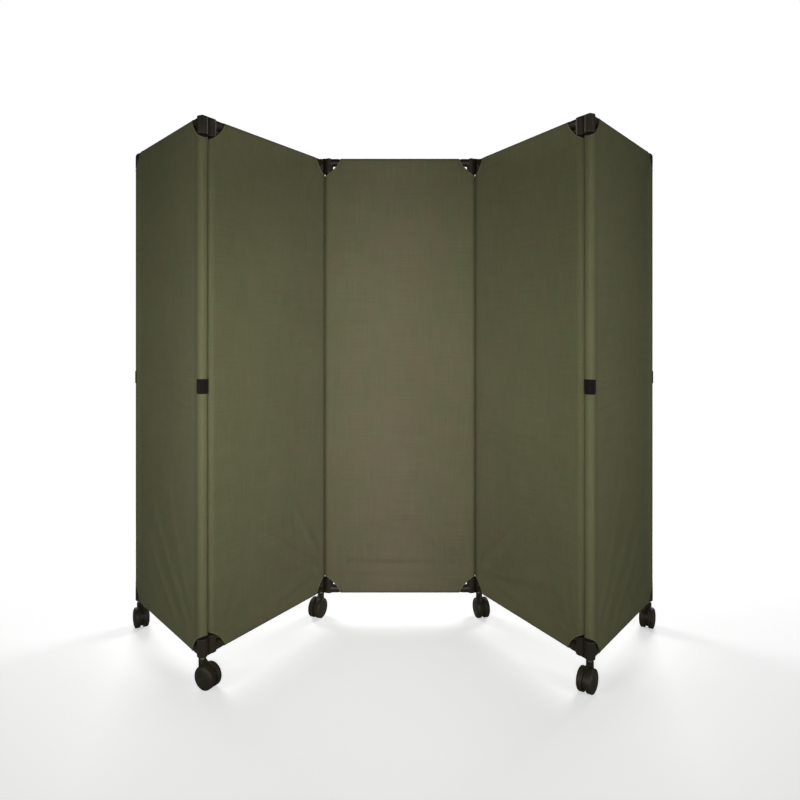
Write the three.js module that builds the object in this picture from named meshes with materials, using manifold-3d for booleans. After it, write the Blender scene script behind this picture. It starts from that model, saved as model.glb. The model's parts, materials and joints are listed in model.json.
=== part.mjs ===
// Folding ward privacy screen: five cloth-sleeved tube frames, linked by two-pin hinge plates, on six
// twin-wheel casters. Millimetres, +Z up, floor at z = 0, +X along the screen, the viewer on the -Y side.
// Every panel is drawn in its own frame: x runs from its first post to its second, z is up from the floor.

import * as THREE from 'three';
import { mergeVertices } from 'three/addons/utils/BufferGeometryUtils.js';
import Module from 'manifold-3d';

const wasm = await Module();
wasm.setup();

// Overall sizes
const SCREEN_HEIGHT = 1778;
const PANEL_PITCH = 588;
const FRAME_CLEARANCE = 90;

// Fits
const SEAT_GAP = 0.3;
const RUNNING_GAP = 0.8;
const CUT_OVERRUN = 5;
const SLIVER_SIZE = 0.04;

// Tube frame and its moulded elbows
const TUBE_RADIUS = 14;
const TUBE_WALL = 1.4;
const BARREL_STEP = 1.4;
const BARREL_LENGTH = 37;
const ARM_STEP = 0.8;
const ARM_LENGTH = 40;
const ELBOW_BORE_DEPTH = 41;
const SPIGOT_LENGTH = 35;
const PLATE_SEAT_DEPTH = 2.4;
const PLATE_SEAT_REACH = 13;
const RAIL_BORE_INSET = 30;
const VENT_RADIUS = 3;
const VENT_INSET = 80;

// Cloth sleeve and the scoops cut out of its corners
const CLOTH_THICKNESS = 1.5;
const SCOOP_WIDTH = 66;
const SCOOP_DEPTH = 72;
const SCOOP_BULGE_SHARE = 0.7;

// Webbing bands sewn round the posts of the end panels
const BAND_HEIGHT = 46;
const BAND_THICKNESS = 1.6;
const BAND_REACH = 2;
const BAND_HEIGHT_SHARE = 0.5;

// Two-pin hinge plates, which keep this space between two sleeves in line
const SLEEVE_SPACE = 2.4;
const LINK_THICKNESS = 2.5;
const LINK_END_RADIUS = 8.5;
const PIN_RADIUS = 4;
const PIN_LENGTH = 24;
const RIVET_RADIUS = 6;
const RIVET_HEIGHT = 1.4;

// Caster: stem with its collar, fork, and a pair of domed wheels on one axle
const STEM_RADIUS = 5.5;
const STEM_INSERTION = 38;
const STEM_POINT = 1.5;
const STEM_BOTTOM = 56;
const COLLAR_RADIUS = 8.5;
const JOURNAL_RADIUS = 4;
const WHEEL_RADIUS = 37.5;
const WHEEL_WIDTH = 22;
const WHEEL_GAP = 12;
const WHEEL_DOME = 9;
const HUB_RADIUS = 8;
const HUB_DISH = 1.4;
const AXLE_RADIUS = 4;
const TRAIL = 24;
const FORK_TOP = 84;
const FORK_BACK_HEIGHT = 46;
const FORK_HUB_RADIUS = 31;
const BOSS_RADIUS = 12;
const BOSS_BOTTOM = 50;

// Pose in the photograph, in degrees: how far each hinge turns on its two pins, and where each caster trails
const HINGE_TURNS = {
  left: { inner: { nearPin: -18, farPin: 76.5 }, front: { nearPin: 0, farPin: 107.3 } },
  right: { inner: { nearPin: -18, farPin: 80 }, front: { nearPin: 5, farPin: 108 } },
};
const CASTER_HEADINGS = {
  end_left: -60,
  front_left: -29,
  inner_left: -113,
  inner_right: -77,
  front_right: -126,
  end_right: -118,
};

// Facets
const TUBE_SIDES = 12;
const KNUCKLE_SIDES = 6;
const WHEEL_SIDES = 20;
const ARC_STEPS = 5;
const DOME_STEPS = 3;

// Derived sizes
const BARREL_RADIUS = TUBE_RADIUS + BARREL_STEP;
const ARM_RADIUS = TUBE_RADIUS + ARM_STEP;
const PLATE_SEAT_HEIGHT = BARREL_RADIUS - PLATE_SEAT_DEPTH;
const CLOTH_INNER = TUBE_RADIUS + SEAT_GAP;
const CLOTH_OUTER = CLOTH_INNER + CLOTH_THICKNESS;
const LINK_CENTRES = CLOTH_OUTER * 2 + SLEEVE_SPACE;
const POST_SPACING = PANEL_PITCH - LINK_CENTRES;
const TOP_RAIL_Z = SCREEN_HEIGHT - CLOTH_OUTER;
const BOTTOM_RAIL_Z = FRAME_CLEARANCE + BARREL_RADIUS;
const TUBE_BORE = TUBE_RADIUS - TUBE_WALL;
const SPIGOT_RADIUS = TUBE_BORE - SEAT_GAP;
const PIN_BORE = PIN_RADIUS + SEAT_GAP;
const STEM_BORE = STEM_RADIUS + SEAT_GAP;
const JOURNAL_BORE = JOURNAL_RADIUS + SEAT_GAP;
const AXLE_Z = WHEEL_RADIUS * Math.cos(Math.PI / WHEEL_SIDES);
const WHEEL_INNER = WHEEL_GAP / 2;
const WHEEL_OUTER = WHEEL_INNER + WHEEL_WIDTH;
const CLEAR_RADIUS = WHEEL_RADIUS + RUNNING_GAP;
const WEB_HALF = WHEEL_INNER - RUNNING_GAP;
const BOTTOM_SEAT_Z = BOTTOM_RAIL_Z - PLATE_SEAT_HEIGHT;

const PAINTS = {
  cloth: { color: 0x5b5a41, roughness: 0.85, metalness: 0 },
  moulding: { color: 0x26231f, roughness: 0.5, metalness: 0 },
  tube: { color: 0x1c1b1a, roughness: 0.4, metalness: 0.3 },
  webbing: { color: 0x14130f, roughness: 0.8, metalness: 0 },
  steel: { color: 0x9a9a98, roughness: 0.35, metalness: 1 },
  plate: { color: 0x2a2826, roughness: 0.45, metalness: 0.6 },
  wheel: { color: 0x24221f, roughness: 0.45, metalness: 0 },
};

function radians(degrees) {
  return THREE.MathUtils.degToRad(degrees);
}

// A closed geometry as a solid for cutting and joining, with its faces turned outwards
function toSolid(geometry) {
  const bare = geometry.clone();
  bare.deleteAttribute('normal');
  bare.deleteAttribute('uv');
  const merged = mergeVertices(bare);
  const points = merged.attributes.position;
  const corners = [];
  let volume = 0;
  const [a, b, c] = [new THREE.Vector3(), new THREE.Vector3(), new THREE.Vector3()];
  for (let i = 0; i < merged.index.count; i += 3) {
    const ids = [merged.index.getX(i), merged.index.getX(i + 1), merged.index.getX(i + 2)];
    if (new Set(ids).size < 3) continue;
    corners.push(ids);
    a.fromBufferAttribute(points, ids[0]);
    b.fromBufferAttribute(points, ids[1]);
    c.fromBufferAttribute(points, ids[2]);
    volume += a.dot(b.cross(c));
  }
  const faces = volume < 0 ? corners.map(([p, q, r]) => [p, r, q]) : corners;
  return new wasm.Manifold(new wasm.Mesh({
    numProp: 3,
    vertProperties: Float32Array.from(points.array),
    triVerts: Uint32Array.from(faces.flat()),
  }));
}

function toGeometry(solid) {
  const mesh = solid.asOriginal().simplify(SLIVER_SIZE).getMesh();
  const geometry = new THREE.BufferGeometry();
  geometry.setAttribute('position', new THREE.BufferAttribute(mesh.vertProperties, 3));
  geometry.setIndex(new THREE.BufferAttribute(mesh.triVerts, 1));
  return geometry;
}

function joined(geometries) {
  return geometries.map(toSolid).reduce((whole, next) => whole.add(next));
}

function cut(solid, geometries) {
  return geometries.map(toSolid).reduce((whole, next) => whole.subtract(next), solid);
}

function piece(name, solid, paint) {
  const geometry = toGeometry(solid).toNonIndexed();
  geometry.computeVertexNormals();
  const mesh = new THREE.Mesh(geometry, new THREE.MeshStandardMaterial(PAINTS[paint]));
  mesh.name = name;
  return mesh;
}

// Basic forms
function uprightCylinder(radius, low, high, x = 0, sides = TUBE_SIDES) {
  return new THREE.CylinderGeometry(radius, radius, high - low, sides)
    .rotateX(Math.PI / 2)
    .translate(x, 0, (low + high) / 2);
}

function levelCylinder(radius, from, to, z) {
  return new THREE.CylinderGeometry(radius, radius, to - from, TUBE_SIDES)
    .rotateZ(Math.PI / 2)
    .translate((from + to) / 2, 0, z);
}

// A profile of [radius, height] pairs turned about the z axis
function turnedUpright(profile, sides = TUBE_SIDES) {
  const points = profile.map(([radius, height]) => new THREE.Vector2(radius, height));
  return new THREE.LatheGeometry(points, sides).rotateX(Math.PI / 2);
}

// A profile of [radius, y] pairs turned about the y axis, with a flat between two corners at the bottom
function turnedAcross(profile, sides) {
  const points = profile.map(([radius, y]) => new THREE.Vector2(radius, y));
  return new THREE.LatheGeometry(points, sides, Math.PI / sides);
}

// A shape in the x-z plane, given thickness along y between two values
function slabAcross(shape, fromY, toY) {
  return new THREE.ExtrudeGeometry(shape, {
    depth: toY - fromY,
    bevelEnabled: false,
    curveSegments: ARC_STEPS,
  })
    .rotateX(Math.PI / 2)
    .translate(0, toY, 0);
}

// A shape in the x-y plane, raised along z between two values
function slabUpright(shape, low, high) {
  return new THREE.ExtrudeGeometry(shape, {
    depth: high - low,
    bevelEnabled: false,
    curveSegments: ARC_STEPS,
  }).translate(0, 0, low);
}

// A round-ended bar outline from (from, 0) to (to, 0)
function stadium(from, to, radius) {
  const shape = new THREE.Shape();
  shape.absarc(to, 0, radius, -Math.PI / 2, Math.PI / 2);
  shape.absarc(from, 0, radius, Math.PI / 2, Math.PI * 1.5);
  return shape;
}

// One moulded elbow at the origin: arm along +x, barrel and spigot down. An open one has its bore
// come out on top, in a flat seat.
function elbowSolid(boreRadius, open) {
  const barrelEnd = -BARREL_LENGTH;
  const barrel = uprightCylinder(BARREL_RADIUS, barrelEnd, 0);
  const arm = levelCylinder(ARM_RADIUS, 0, ARM_LENGTH, 0);
  const knuckle = new THREE.SphereGeometry(BARREL_RADIUS, TUBE_SIDES, KNUCKLE_SIDES).rotateX(Math.PI / 2);
  const spigotEnd = barrelEnd - SPIGOT_LENGTH;
  const spigot = uprightCylinder(SPIGOT_RADIUS, spigotEnd, barrelEnd + CUT_OVERRUN);
  const whole = joined([barrel, arm, knuckle, spigot]);
  const seatLength = BARREL_RADIUS + PLATE_SEAT_REACH;
  const seatCut = new THREE.BoxGeometry(seatLength, BARREL_RADIUS * 2 + CUT_OVERRUN, CUT_OVERRUN).translate(
    PLATE_SEAT_REACH - seatLength / 2,
    0,
    PLATE_SEAT_HEIGHT + CUT_OVERRUN / 2,
  );
  const bore = uprightCylinder(boreRadius, BARREL_RADIUS - ELBOW_BORE_DEPTH, BARREL_RADIUS + CUT_OVERRUN);
  return open ? cut(whole, [seatCut, bore]) : whole;
}

// A rail with an elbow at each end; side is 1 for the top rail and -1 for the bottom one
function railPiece(name, side, z, bores) {
  const ends = bores.map(({ radius, open }, index) => {
    const inward = index === 0 ? 1 : -1;
    return toGeometry(elbowSolid(radius, open))
      .scale(inward, 1, side)
      .translate(index * POST_SPACING, 0, z);
  });
  const rail = levelCylinder(TUBE_RADIUS, ARM_LENGTH - CUT_OVERRUN, POST_SPACING - ARM_LENGTH + CUT_OVERRUN, z);
  const hollow = levelCylinder(TUBE_BORE, RAIL_BORE_INSET, POST_SPACING - RAIL_BORE_INSET, z);
  const vent = uprightCylinder(VENT_RADIUS, z - TUBE_RADIUS - CUT_OVERRUN, z, VENT_INSET);
  return piece(name, cut(joined([...ends, rail]), [hollow, vent]), 'moulding');
}

function postPiece(name, x) {
  const shape = new THREE.Shape().absarc(x, 0, TUBE_RADIUS, 0, Math.PI * 2);
  shape.holes.push(new THREE.Path().absarc(x, 0, TUBE_BORE, 0, Math.PI * 2, true));
  const low = BOTTOM_RAIL_Z + BARREL_LENGTH + SEAT_GAP;
  const high = TOP_RAIL_Z - BARREL_LENGTH - SEAT_GAP;
  const tube = new THREE.ExtrudeGeometry(shape, {
    depth: high - low,
    bevelEnabled: false,
    curveSegments: TUBE_SIDES / 2,
  }).translate(0, 0, low);
  return piece(name, toSolid(tube), 'tube');
}

// A pillow form round the frame: rounded over both posts and over both rails
function pillowSolid(radius) {
  const plan = slabUpright(stadium(0, POST_SPACING, radius), BOTTOM_RAIL_Z - radius, TOP_RAIL_Z + radius);
  const reach = radius + CUT_OVERRUN;
  const section = slabUpright(stadium(BOTTOM_RAIL_Z, TOP_RAIL_Z, radius), -reach, POST_SPACING + reach)
    .rotateY(Math.PI / 2)
    .rotateX(Math.PI);
  return toSolid(plan).intersect(toSolid(section));
}

// The piece of cloth cut away at one corner, as a slab through both layers
function scoop(cornerX, cornerZ, inward, downward) {
  const edge = -CLOTH_OUTER - CUT_OVERRUN;
  const shape = new THREE.Shape();
  shape.moveTo(edge, -edge);
  shape.lineTo(SCOOP_WIDTH - CLOTH_OUTER, -edge);
  shape.lineTo(SCOOP_WIDTH - CLOTH_OUTER, CLOTH_OUTER);
  shape.quadraticCurveTo(
    SCOOP_WIDTH * SCOOP_BULGE_SHARE - CLOTH_OUTER,
    CLOTH_OUTER - SCOOP_DEPTH * SCOOP_BULGE_SHARE,
    -CLOTH_OUTER,
    CLOTH_OUTER - SCOOP_DEPTH,
  );
  shape.lineTo(edge, CLOTH_OUTER - SCOOP_DEPTH);
  return slabAcross(shape, -CLOTH_OUTER - CUT_OVERRUN, CLOTH_OUTER + CUT_OVERRUN)
    .scale(inward, 1, downward)
    .translate(cornerX, 0, cornerZ);
}

function clothPiece(name) {
  const shell = pillowSolid(CLOTH_OUTER).subtract(pillowSolid(CLOTH_INNER));
  const scoops = [];
  for (const [x, inward] of [[0, 1], [POST_SPACING, -1]]) {
    scoops.push(scoop(x, TOP_RAIL_Z, inward, 1));
    scoops.push(scoop(x, BOTTOM_RAIL_Z, inward, -1));
  }
  return piece(name, cut(shell, scoops), 'cloth');
}

// A band folded round the outside of a post; inward is the side on which its ends lie on the cloth
function bandPiece(name, x, inward) {
  const inner = CLOTH_OUTER + SEAT_GAP;
  const outer = inner + BAND_THICKNESS;
  const shape = new THREE.Shape();
  shape.moveTo(BAND_REACH, outer);
  shape.lineTo(0, outer);
  shape.absarc(0, 0, outer, Math.PI / 2, Math.PI * 1.5);
  shape.lineTo(BAND_REACH, -outer);
  shape.lineTo(BAND_REACH, -inner);
  shape.lineTo(0, -inner);
  shape.absarc(0, 0, inner, Math.PI * 1.5, Math.PI / 2, true);
  shape.lineTo(BAND_REACH, inner);
  const middle = THREE.MathUtils.lerp(BOTTOM_RAIL_Z, TOP_RAIL_Z, BAND_HEIGHT_SHARE);
  const band = slabUpright(shape, middle - BAND_HEIGHT / 2, middle + BAND_HEIGHT / 2)
    .scale(inward, 1, 1)
    .translate(x, 0, 0);
  return piece(name, toSolid(band), 'webbing');
}

// Hinge plates. The first eye is at the origin and the second at x = LINK_CENTRES.
function linkPlate(low, high) {
  return slabUpright(stadium(0, LINK_CENTRES, LINK_END_RADIUS), low, high);
}

function pinWithRivet(x, plateFace, pinEnd, rivetTop) {
  const pin = uprightCylinder(PIN_RADIUS, Math.min(plateFace, pinEnd), Math.max(plateFace, pinEnd), x);
  const rivet = uprightCylinder(RIVET_RADIUS, Math.min(plateFace, rivetTop), Math.max(plateFace, rivetTop), x);
  return [pin, rivet];
}

function topLinkPiece(name) {
  const low = TOP_RAIL_Z + PLATE_SEAT_HEIGHT + SEAT_GAP;
  const high = low + LINK_THICKNESS;
  const middle = (low + high) / 2;
  const pinEnd = low - PIN_LENGTH;
  const parts = [linkPlate(low, high)];
  for (const x of [0, LINK_CENTRES]) parts.push(...pinWithRivet(x, middle, pinEnd, high + RIVET_HEIGHT));
  return piece(name, joined(parts), 'plate');
}

function bottomLinkPiece(name) {
  const high = BOTTOM_RAIL_Z - PLATE_SEAT_HEIGHT - SEAT_GAP;
  const low = high - LINK_THICKNESS;
  const middle = (low + high) / 2;
  const parts = [linkPlate(low, high), ...pinWithRivet(0, middle, high + PIN_LENGTH, low - RIVET_HEIGHT)];
  const eye = uprightCylinder(STEM_BORE, low - CUT_OVERRUN, high + CUT_OVERRUN, LINK_CENTRES);
  return piece(name, cut(joined(parts), [eye]), 'plate');
}

// Caster pieces, with the stem axis at the origin and the wheels trailing along +x
function stemPiece(name, collarTop) {
  const collarLow = FORK_TOP + SEAT_GAP;
  const top = FRAME_CLEARANCE + STEM_INSERTION;
  return piece(name, toSolid(turnedUpright([
    [0, STEM_BOTTOM],
    [JOURNAL_RADIUS, STEM_BOTTOM],
    [JOURNAL_RADIUS, collarLow],
    [COLLAR_RADIUS, collarLow],
    [COLLAR_RADIUS, collarTop],
    [STEM_RADIUS, collarTop],
    [STEM_RADIUS, top - STEM_POINT],
    [STEM_RADIUS - STEM_POINT, top],
    [0, top],
  ])), 'steel');
}

function forkPiece(name) {
  const web = new THREE.Shape();
  web.moveTo(-BOSS_RADIUS, FORK_TOP);
  web.lineTo(-BOSS_RADIUS, FORK_BACK_HEIGHT);
  web.absarc(TRAIL, AXLE_Z, FORK_HUB_RADIUS, Math.PI, Math.PI * 2.25);
  web.lineTo(BOSS_RADIUS, FORK_TOP);
  const webSlab = slabAcross(web, -WEB_HALF, WEB_HALF);
  const boss = uprightCylinder(BOSS_RADIUS, BOSS_BOTTOM, FORK_TOP);
  const reach = WHEEL_OUTER + CUT_OVERRUN;
  const wheelRooms = [-1, 1].map((side) => turnedAcross([
    [0, side * WEB_HALF],
    [CLEAR_RADIUS, side * WEB_HALF],
    [CLEAR_RADIUS, side * reach],
    [0, side * reach],
  ], WHEEL_SIDES).translate(TRAIL, 0, AXLE_Z));
  const topCut = new THREE.BoxGeometry(TRAIL * 4, reach * 2, CUT_OVERRUN * 4)
    .translate(0, 0, FORK_TOP + CUT_OVERRUN * 2);
  const stemRoom = uprightCylinder(JOURNAL_BORE, STEM_BOTTOM - SEAT_GAP, FORK_TOP + CUT_OVERRUN);
  const axleBore = AXLE_RADIUS + SEAT_GAP;
  const axleRoom = new THREE.CylinderGeometry(axleBore, axleBore, WEB_HALF * 2 + CUT_OVERRUN, TUBE_SIDES)
    .translate(TRAIL, 0, AXLE_Z);
  return piece(name, cut(joined([webSlab, boss]), [...wheelRooms, topCut, stemRoom, axleRoom]), 'moulding');
}

// Both wheels with the axle between them: a flat tread, a domed face and a small dished hub cap
function wheelPairPiece(name) {
  const half = [
    [AXLE_RADIUS, WHEEL_INNER],
    [WHEEL_RADIUS, WHEEL_INNER],
  ];
  const tread = WHEEL_OUTER - WHEEL_DOME;
  for (let step = 0; step <= DOME_STEPS; step += 1) {
    const turn = (step / DOME_STEPS) * (Math.PI / 2);
    half.push([HUB_RADIUS + (WHEEL_RADIUS - HUB_RADIUS) * Math.cos(turn), tread + WHEEL_DOME * Math.sin(turn)]);
  }
  half.push([HUB_RADIUS - HUB_DISH, WHEEL_OUTER - HUB_DISH], [0, WHEEL_OUTER - HUB_DISH]);
  const mirrored = half.map(([radius, y]) => [radius, -y]).reverse();
  return piece(name, toSolid(turnedAcross([...mirrored, ...half], WHEEL_SIDES)), 'wheel');
}

function addCaster(group, place, x, groupHeading, underHinge) {
  const collarTop = BOTTOM_SEAT_Z - SEAT_GAP - (underHinge ? LINK_THICKNESS + SEAT_GAP : 0);
  const mount = new THREE.Group();
  mount.position.x = x;
  mount.rotation.z = radians(CASTER_HEADINGS[place]) - groupHeading;
  mount.add(stemPiece(`caster_${place}_stem`, collarTop), forkPiece(`caster_${place}_fork`));
  const wheels = wheelPairPiece(`caster_${place}_wheels`);
  wheels.position.set(TRAIL, 0, AXLE_Z);
  mount.add(wheels);
  group.add(mount);
}

// One panel. ends says what each lower elbow carries: a hinge pin or a caster stem.
function addPanel(group, name, ends, hinged) {
  const posts = ['post_a', 'post_b'];
  const topBores = hinged.map((open) => ({ radius: PIN_BORE, open }));
  const bottomBores = ends.map((end) => ({ radius: end === 'stem' ? STEM_BORE : PIN_BORE, open: true }));
  group.add(
    railPiece(`${name}_top_rail`, 1, TOP_RAIL_Z, topBores),
    railPiece(`${name}_bottom_rail`, -1, BOTTOM_RAIL_Z, bottomBores),
    ...posts.map((post, index) => postPiece(`${name}_${post}`, index * POST_SPACING)),
    clothPiece(`${name}_cloth`),
  );
}

// A group that turns by an angle about the post at x in its parent
function turned(parent, x, angle) {
  const group = new THREE.Group();
  group.position.x = x;
  group.rotation.z = angle;
  parent.add(group);
  return group;
}

// The two panels on one side: hinge plates, inner panel, hinge plates, end panel
function addSide(start, side, turn, heading) {
  const turns = HINGE_TURNS[side];
  const innerNear = turn * radians(turns.inner.nearPin);
  const innerFar = turn * radians(turns.inner.farPin);
  const frontNear = -turn * radians(turns.front.nearPin);
  const frontFar = -turn * radians(turns.front.farPin);
  const innerHinge = turned(start, 0, innerNear);
  innerHinge.add(topLinkPiece(`hinge_${side}_top`), bottomLinkPiece(`hinge_${side}_bottom`));
  const inner = turned(innerHinge, LINK_CENTRES, innerFar);
  const innerHeading = heading + innerNear + innerFar;
  addPanel(inner, `inner_${side}`, ['stem', 'pin'], [true, true]);
  addCaster(inner, `inner_${side}`, 0, innerHeading, true);
  const frontHinge = turned(inner, POST_SPACING, frontNear);
  frontHinge.add(topLinkPiece(`front_hinge_${side}_top`), bottomLinkPiece(`front_hinge_${side}_bottom`));
  const end = turned(frontHinge, LINK_CENTRES, frontFar);
  const endHeading = innerHeading + frontNear + frontFar;
  addPanel(end, `end_${side}`, ['stem', 'stem'], [true, false]);
  addCaster(end, `front_${side}`, 0, endHeading, true);
  addCaster(end, `end_${side}`, POST_SPACING, endHeading, false);
  end.add(bandPiece(`front_band_${side}`, 0, 1), bandPiece(`end_band_${side}`, POST_SPACING, -1));
}

const screen = new THREE.Group();
const centre = turned(screen, -POST_SPACING / 2, 0);
addPanel(centre, 'centre', ['pin', 'pin'], [true, true]);
addSide(turned(centre, 0, Math.PI), 'left', 1, Math.PI);
addSide(turned(centre, POST_SPACING, 0), 'right', -1, 0);

// The origin is the middle of the footprint, on the floor
screen.updateMatrixWorld(true);
const middle = new THREE.Box3().setFromObject(screen, true).getCenter(new THREE.Vector3());
screen.position.set(-middle.x, -middle.y, 0);
screen.updateMatrixWorld(true);

export default screen;
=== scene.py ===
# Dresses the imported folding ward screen: cloth sleeves with folds, hems and stitches, finer forms
# of the rails, posts, wheels and bands, materials for the plates, stems and forks, soft studio
# light and the photograph's camera. Metres, in the CAD frame.

import json
import math

import bmesh
import bpy
from mathutils import Matrix, Vector, noise


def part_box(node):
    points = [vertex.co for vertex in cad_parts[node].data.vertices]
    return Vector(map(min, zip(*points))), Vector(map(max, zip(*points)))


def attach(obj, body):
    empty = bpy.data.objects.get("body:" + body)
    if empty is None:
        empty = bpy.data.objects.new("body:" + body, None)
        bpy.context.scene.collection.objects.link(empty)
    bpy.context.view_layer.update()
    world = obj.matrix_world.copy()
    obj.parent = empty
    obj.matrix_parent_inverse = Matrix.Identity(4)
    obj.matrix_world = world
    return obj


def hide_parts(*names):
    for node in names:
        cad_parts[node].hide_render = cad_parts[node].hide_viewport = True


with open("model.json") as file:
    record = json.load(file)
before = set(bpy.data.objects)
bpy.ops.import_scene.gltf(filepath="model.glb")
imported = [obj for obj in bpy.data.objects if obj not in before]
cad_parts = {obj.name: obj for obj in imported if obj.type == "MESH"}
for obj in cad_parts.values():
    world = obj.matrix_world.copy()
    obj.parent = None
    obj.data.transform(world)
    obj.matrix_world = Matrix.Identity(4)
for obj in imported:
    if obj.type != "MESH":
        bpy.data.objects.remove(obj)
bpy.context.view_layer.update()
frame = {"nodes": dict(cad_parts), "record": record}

PANELS = ["centre", "inner_left", "inner_right", "end_left", "end_right"]
CASTERS = ["inner_left", "inner_right", "front_left", "front_right", "end_left", "end_right"]
HINGES = ["hinge_left", "hinge_right", "front_hinge_left", "front_hinge_right"]

UP = Vector((0, 0, 1))
TINY = 1e-9

# The photograph's camera, measured from the centre panel's plane
CAMERA_HEIGHT = 1.10
CAMERA_DISTANCE = 2.47
LENS = 28.53
SENSOR_WIDTH = 36
SHIFT_Y = -0.0838
VIEW_DEPTH = 100

# Curved faces of the CAD nodes: edges sharper than this many degrees stay sharp
SMOOTH_ANGLE = 38
WHEEL_SMOOTH_ANGLE = 50
WELD_DISTANCE = 0.00001

# Tube frame, with the CAD model's tube, seats and arm length. The elbows' barrels are a little
# fuller and longer than there, and their arms fuller, so that neighbours close up as photographed.
TUBE_RADIUS = 0.014
BARREL_RADIUS = 0.0166
BARREL_LENGTH = 0.043
ARM_RADIUS = 0.0151
ARM_LENGTH = 0.040
SEAT_HEIGHT = 0.013
SEAT_REACH = 0.013
SEAT_STEP = 0.003
SEAT_GAP = 0.0003
SEAT_EDGE_START = 0.0006
SEAT_EDGE_END = 0.0012
ELBOW_SIDES = 48
ELBOW_VOXEL = 0.0013
SOFTENING = 0.5
SOFTENING_ROUNDS = 4
BAR_SIDES = 40
BAR_BEVEL = 0.0006
BAR_OVERLAP = 0.002

# Casters' wheels, as in the CAD model
WHEEL_INNER = 0.006
WHEEL_OUTER = 0.028
WHEEL_DOME = 0.009
HUB_RADIUS = 0.008
AXLE_RADIUS = 0.004
WHEEL_SIDES = 72
FLOOR_GAP = 0.00005

# Small forms of the wheels, which the CAD model leaves out. Steps are (radius, distance outwards);
# radii are counted inwards from the tread's or the hub cap's.
TREAD_EDGE = ((0.0009, 0.0), (0.0002, 0.0004), (0.0, 0.0010))
GROOVE_PLACES = (0.30, 0.66)
GROOVE_STEPS = ((0.0, -0.0007), (0.0005, -0.0004), (0.0005, 0.0004), (0.0, 0.0007))
DOME_STEPS = 12
DOME_RING_INNER = 0.0205
DOME_RING_OUTER = 0.0235
DOME_RING_DEPTH = 0.0004
CAP_GAP = 0.0008
CAP_STEPS = ((0.0, -0.0014), (0.0006, -0.0014), (0.0010, -0.0006), (0.0022, -0.0001))

# Cloth sleeve, as in the CAD model
CLOTH_OUTER = 0.0158
CLOTH_THICKNESS = 0.0015
SCOOP_WIDTH = 0.066
SCOOP_DEPTH = 0.072
SCOOP_BULGE = 0.7

# Its grid: columns and rows, finer where the cloth bends round a tube or is cut by a scoop
COLUMN_STEP = 0.009
ROW_STEP = 0.0095
SCOOP_ROWS = 8
SCOOP_ROWS_HEIGHT = 0.09
BEND_ANGLES = (0, 15, 30, 45, 60, 75, 90)
NEAR_COLUMNS = [0.006, 0.012, 0.018, 0.024, 0.030, 0.036, 0.041, 0.045, 0.048]
CLOSED_THICKNESS = 1e-5
HALVINGS = 40

# How the cloth lies: sunk between the posts, with slow and fine waves. Each slope is the stretch,
# from a post's or rail's axis, over which the cloth sinks or comes free for waves and folds.
END_SINK = 0.0056
END_SLOPE = (0.003, 0.040)
INNER_SINK = 0.0050
INNER_SLOPE = (0.0, 0.16)
RAIL_SLOPE = (0.004, 0.085)
FREE_OF_POSTS = (0.008, 0.05)
FREE_OF_RAILS = (0.006, 0.05)
SLOW_WAVE = 0.0008
FINE_WAVE = 0.0003
STAND_OUT = 0.0010

# Puckers that fan out from the scoops. Their strengths are for the bottom's two corners, post a's
# first, and then for the top's.
PUCKER = 0.0011
PUCKER_RAYS = 13.0
PUCKER_START = (0.04, 0.11)
PUCKER_FALL = 0.22
PUCKER_REACH = 0.6
PUCKER_STRENGTHS = ((1.0, 0.85), (0.5, 0.45))

# A fold's section: a ridge that widens along its length, with a shallower trough beside it
FOLD_BEND = 0.018
FOLD_START = 0.10
FOLD_FADE = 0.45
FOLD_WIDTH_START = 0.8
FOLD_WIDENING = 0.9
FOLD_REACH = 4
TROUGH_PLACE = 1.9
TROUGH_WIDTH = 1.3
TROUGH_DEPTH = 0.4

# Hems and stitches
PIPING_HALF_WIDTH = 0.0023
PIPING_HALF_HEIGHT = 0.0017
PIPING_SIDES = 10
HEM_WIDTH = 0.0095
HEM_STEPS = 22
CURVE_NUDGE = 0.01
STITCH_LIFT = 0.0001
STITCH_LIMIT = 0.9
STITCH_SIDES = 5
STITCH_SHARE = 0.36
STITCH_SHOULDER = 0.55
STITCH_SWELL = 0.8

# Webbing bands, slightly thicker than in the CAD model and with longer ends
BAND_GAP = 0.0003
BAND_THICKNESS = 0.0018
BAND_REACH = 0.005
BAND_HEIGHT = 0.046
BAND_COLUMNS = 40
BAND_ROWS = 26
BAND_EDGE = 0.86
BAND_END = 0.95
BAND_RIB = 0.00008
BAND_RIBS = 9
BAND_BOW = 0.0004
BAND_UNDERSIDE = 0.04
BAND_SEAM_INSET = 0.004
BAND_SEAM_SPACING = 0.007
BAND_SEAM_STEPS = 12

# Floor: a white disc that fades out towards its rim
FLOOR_REACH = 2.6
FLOOR_SIDES = 96
FADE_START = 1.2
FADE_MARGIN = 0.1


def middle_of(node):
    low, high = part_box(node)
    return (low + high) / 2


class Panel:
    """One panel's own frame: x from post a to post b, y across it, z up from the floor."""

    def __init__(self, name):
        self.name = name
        self.a = middle_of(f"{name}_post_a")
        b = middle_of(f"{name}_post_b")
        self.a.z = b.z = 0
        self.width = (b - self.a).length
        self.x = (b - self.a).normalized()
        self.z = UP
        self.y = self.z.cross(self.x)
        low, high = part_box(f"{name}_cloth")
        self.bottom = low.z + CLOTH_OUTER
        self.top = high.z - CLOTH_OUTER

    def at(self, x, y, z):
        return self.a + self.x * x + self.y * y + self.z * z


def add_object(name, data):
    obj = bpy.data.objects.new(name, data)
    bpy.context.scene.collection.objects.link(obj)
    return obj


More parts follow.
